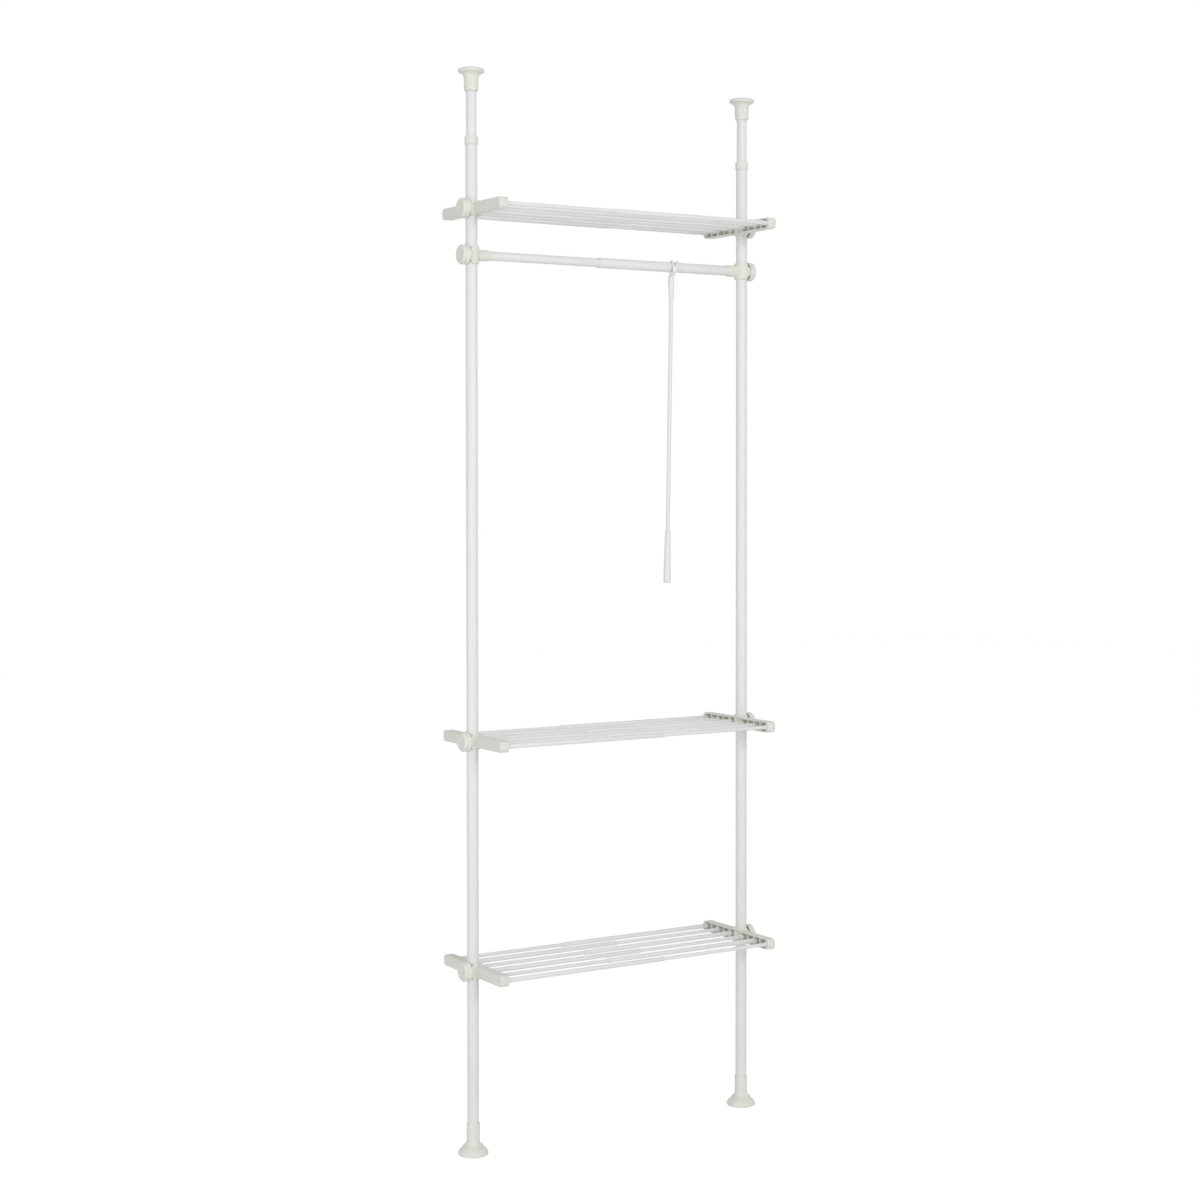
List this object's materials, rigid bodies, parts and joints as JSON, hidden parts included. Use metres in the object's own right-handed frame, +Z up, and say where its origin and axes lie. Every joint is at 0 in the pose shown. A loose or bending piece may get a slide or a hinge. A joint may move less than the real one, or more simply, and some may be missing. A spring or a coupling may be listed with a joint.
{
  "type": "tension pole shelf unit",
  "caption": "Floor-to-ceiling tension pole shelf unit: telescopic poles carry clamp-on shelves of telescopic bars and a hanging rail with a forked hook wand.",
  "frame": {"origin": "on the floor, midway between the two poles", "axes": "+X along the shelves to the right as seen from the front, +Y from front to back, +Z up the poles"},
  "size_m": [0.755, 0.252, 2.27],
  "materials": {
    "white_steel": "smooth white powder coat on steel tube",
    "ivory_plastic": "satin off-white moulded plastic",
    "white_plastic": "satin neutral white moulded plastic of the wand",
    "grey_rubber": "matt light grey rubber",
    "natural_nylon": "natural moulded nylon"
  },
  "bodies": {
    "left_pole": {"left_foot_sole": "grey_rubber", "left_foot": "ivory_plastic", "left_lower_tube": "white_steel", "left_collar": "ivory_plastic"},
    "left_upper": {"left_upper_tube": "white_steel", "left_lock_plug": "natural_nylon", "left_jack_insert": "natural_nylon"},
    "left_pad": {"left_ceiling_pad": "grey_rubber"},
    "left_cap": {"left_ceiling_cap": "ivory_plastic"},
    "right_pole": {"right_foot_sole": "grey_rubber", "right_foot": "ivory_plastic", "right_lower_tube": "white_steel", "right_collar": "ivory_plastic"},
    "right_upper": {"right_upper_tube": "white_steel", "right_lock_plug": "natural_nylon", "right_jack_insert": "natural_nylon"},
    "right_pad": {"right_ceiling_pad": "grey_rubber"},
    "right_cap": {"right_ceiling_cap": "ivory_plastic"},
    "top_left": {"top_left_arm": "ivory_plastic", "top_left_outer_tubes": "white_steel", "top_left_inner_tubes": "white_steel"},
    "top_left_saddle": {"top_left_saddle": "ivory_plastic"},
    "top_left_knob": {"top_left_knob": "ivory_plastic"},
    "top_right": {"top_right_arm": "ivory_plastic", "top_right_outer_tubes": "white_steel", "top_right_inner_tubes": "white_steel"},
    "top_right_saddle": {"top_right_saddle": "ivory_plastic"},
    "top_right_knob": {"top_right_knob": "ivory_plastic"},
    "middle_left": {"middle_left_arm": "ivory_plastic", "middle_left_outer_tubes": "white_steel", "middle_left_inner_tubes": "white_steel"},
    "middle_left_saddle": {"middle_left_saddle": "ivory_plastic"},
    "middle_left_knob": {"middle_left_knob": "ivory_plastic"},
    "middle_right": {"middle_right_arm": "ivory_plastic", "middle_right_outer_tubes": "white_steel", "middle_right_inner_tubes": "white_steel"},
    "middle_right_saddle": {"middle_right_saddle": "ivory_plastic"},
    "middle_right_knob": {"middle_right_knob": "ivory_plastic"},
    "lower_left": {"lower_left_arm": "ivory_plastic", "lower_left_outer_tubes": "white_steel", "lower_left_inner_tubes": "white_steel"},
    "lower_left_saddle": {"lower_left_saddle": "ivory_plastic"},
    "lower_left_knob": {"lower_left_knob": "ivory_plastic"},
    "lower_right": {"lower_right_arm": "ivory_plastic", "lower_right_outer_tubes": "white_steel", "lower_right_inner_tubes": "white_steel"},
    "lower_right_saddle": {"lower_right_saddle": "ivory_plastic"},
    "lower_right_knob": {"lower_right_knob": "ivory_plastic"},
    "rail_left": {"rail_left_bracket": "ivory_plastic", "rail_thin_tube": "white_steel"},
    "rail_left_saddle": {"rail_left_saddle": "ivory_plastic"},
    "rail_left_knob": {"rail_left_knob": "ivory_plastic"},
    "rail_right": {"rail_right_bracket": "ivory_plastic", "rail_thick_tube": "white_steel"},
    "rail_right_saddle": {"rail_right_saddle": "ivory_plastic"},
    "rail_right_knob": {"rail_right_knob": "ivory_plastic"},
    "wand": {"wand_hook": "white_plastic", "wand_shaft": "white_steel", "wand_grip": "white_plastic"}
  },
  "joints": [
    {"name": "pole_spacing", "type": "slide", "parent": "left_pole", "child": "right_pole", "axis": [1, 0, 0], "range_m": [-0.22, 0.08]},
    {"name": "left_pole_height", "type": "slide", "parent": "left_pole", "child": "left_upper", "axis": [0, 0, 1], "range_m": [-0.08, 0.45]},
    {"name": "left_pad_rise", "type": "slide", "parent": "left_upper", "child": "left_pad", "axis": [0, 0, 1], "range_m": [-0.008, 0.012]},
    {"name": "left_cap_turn", "type": "hinge", "parent": "left_pad", "child": "left_cap", "pos_m": [-0.3455, 0, 2.24], "axis": [0, 0, 1], "range_deg": [-720, 1080]},
    {"name": "right_pole_height", "type": "slide", "parent": "right_pole", "child": "right_upper", "axis": [0, 0, 1], "range_m": [-0.08, 0.45]},
    {"name": "right_pad_rise", "type": "slide", "parent": "right_upper", "child": "right_pad", "axis": [0, 0, 1], "range_m": [-0.008, 0.012]},
    {"name": "right_cap_turn", "type": "hinge", "parent": "right_pad", "child": "right_cap", "pos_m": [0.3455, 0, 2.24], "axis": [0, 0, 1], "range_deg": [-720, 1080]},
    {"name": "top_left_height", "type": "slide", "parent": "left_pole", "child": "top_left", "axis": [0, 0, 1], "range_m": [-0.02, 0.1]},
    {"name": "top_left_saddle_slide", "type": "slide", "parent": "top_left", "child": "top_left_saddle", "axis": [-1, 0, 0], "range_m": [0, 0.003]},
    {"name": "top_left_knob_turn", "type": "hinge", "parent": "top_left_saddle", "child": "top_left_knob", "pos_m": [-0.3655, 0, 1.981], "axis": [-1, 0, 0], "range_deg": [0, 360]},
    {"name": "top_right_height", "type": "slide", "parent": "right_pole", "child": "top_right", "axis": [0, 0, 1], "range_m": [-0.02, 0.1]},
    {"name": "top_right_saddle_slide", "type": "slide", "parent": "top_right", "child": "top_right_saddle", "axis": [1, 0, 0], "range_m": [0, 0.003]},
    {"name": "top_right_knob_turn", "type": "hinge", "parent": "top_right_saddle", "child": "top_right_knob", "pos_m": [0.3655, 0, 1.981], "axis": [1, 0, 0], "range_deg": [0, 360]},
    {"name": "middle_left_height", "type": "slide", "parent": "left_pole", "child": "middle_left", "axis": [0, 0, 1], "range_m": [-0.2, 0.15]},
    {"name": "middle_left_saddle_slide", "type": "slide", "parent": "middle_left", "child": "middle_left_saddle", "axis": [-1, 0, 0], "range_m": [0, 0.003]},
    {"name": "middle_left_knob_turn", "type": "hinge", "parent": "middle_left_saddle", "child": "middle_left_knob", "pos_m": [-0.3655, 0, 0.87], "axis": [-1, 0, 0], "range_deg": [0, 360]},
    {"name": "middle_right_height", "type": "slide", "parent": "right_pole", "child": "middle_right", "axis": [0, 0, 1], "range_m": [-0.2, 0.15]},
    {"name": "middle_right_saddle_slide", "type": "slide", "parent": "middle_right", "child": "middle_right_saddle", "axis": [1, 0, 0], "range_m": [0, 0.003]},
    {"name": "middle_right_knob_turn", "type": "hinge", "parent": "middle_right_saddle", "child": "middle_right_knob", "pos_m": [0.3655, 0, 0.87], "axis": [1, 0, 0], "range_deg": [0, 360]},
    {"name": "lower_left_height", "type": "slide", "parent": "left_pole", "child": "lower_left", "axis": [0, 0, 1], "range_m": [-0.2, 0.2]},
    {"name": "lower_left_saddle_slide", "type": "slide", "parent": "lower_left", "child": "lower_left_saddle", "axis": [-1, 0, 0], "range_m": [0, 0.003]},
    {"name": "lower_left_knob_turn", "type": "hinge", "parent": "lower_left_saddle", "child": "lower_left_knob", "pos_m": [-0.3655, 0, 0.388], "axis": [-1, 0, 0], "range_deg": [0, 360]},
    {"name": "lower_right_height", "type": "slide", "parent": "right_pole", "child": "lower_right", "axis": [0, 0, 1], "range_m": [-0.2, 0.2]},
    {"name": "lower_right_saddle_slide", "type": "slide", "parent": "lower_right", "child": "lower_right_saddle", "axis": [1, 0, 0], "range_m": [0, 0.003]},
    {"name": "lower_right_knob_turn", "type": "hinge", "parent": "lower_right_saddle", "child": "lower_right_knob", "pos_m": [0.3655, 0, 0.388], "axis": [1, 0, 0], "range_deg": [0, 360]},
    {"name": "rail_left_height", "type": "slide", "parent": "left_pole", "child": "rail_left", "axis": [0, 0, 1], "range_m": [-0.1, 0.03]},
    {"name": "rail_left_saddle_slide", "type": "slide", "parent": "rail_left", "child": "rail_left_saddle", "axis": [-1, 0, 0], "range_m": [0, 0.003]},
    {"name": "rail_left_knob_turn", "type": "hinge", "parent": "rail_left_saddle", "child": "rail_left_knob", "pos_m": [-0.3655, 0, 1.8846], "axis": [-1, 0, 0], "range_deg": [0, 360]},
    {"name": "rail_right_height", "type": "slide", "parent": "right_pole", "child": "rail_right", "axis": [0, 0, 1], "range_m": [-0.1, 0.03]},
    {"name": "rail_right_saddle_slide", "type": "slide", "parent": "rail_right", "child": "rail_right_saddle", "axis": [1, 0, 0], "range_m": [0, 0.003]},
    {"name": "rail_right_knob_turn", "type": "hinge", "parent": "rail_right_saddle", "child": "rail_right_knob", "pos_m": [0.3655, 0, 1.8846], "axis": [1, 0, 0], "range_deg": [0, 360]},
    {"name": "wand_swing", "type": "hinge", "parent": "rail_right", "child": "wand", "pos_m": [0.1646, 0, 1.8846], "axis": [1, 0, 0], "range_deg": [-40, 40]}
  ],
  "couplings": [
    {"joint": "left_cap_turn", "follows": "left_pad_rise", "rad_per_m": 1570.7},
    {"joint": "right_cap_turn", "follows": "right_pad_rise", "rad_per_m": 1570.7},
    {"joint": "top_left_knob_turn", "follows": "top_left_saddle_slide", "rad_per_m": 2094},
    {"joint": "top_right_knob_turn", "follows": "top_right_saddle_slide", "rad_per_m": 2094},
    {"joint": "top_right_height", "follows": "top_left_height", "ratio": 1},
    {"joint": "middle_left_knob_turn", "follows": "middle_left_saddle_slide", "rad_per_m": 2094},
    {"joint": "middle_right_knob_turn", "follows": "middle_right_saddle_slide", "rad_per_m": 2094},
    {"joint": "middle_right_height", "follows": "middle_left_height", "ratio": 1},
    {"joint": "lower_left_knob_turn", "follows": "lower_left_saddle_slide", "rad_per_m": 2094},
    {"joint": "lower_right_knob_turn", "follows": "lower_right_saddle_slide", "rad_per_m": 2094},
    {"joint": "lower_right_height", "follows": "lower_left_height", "ratio": 1},
    {"joint": "rail_left_knob_turn", "follows": "rail_left_saddle_slide", "rad_per_m": 2094},
    {"joint": "rail_right_knob_turn", "follows": "rail_right_saddle_slide", "rad_per_m": 2094},
    {"joint": "rail_right_height", "follows": "rail_left_height", "ratio": 1}
  ]
}
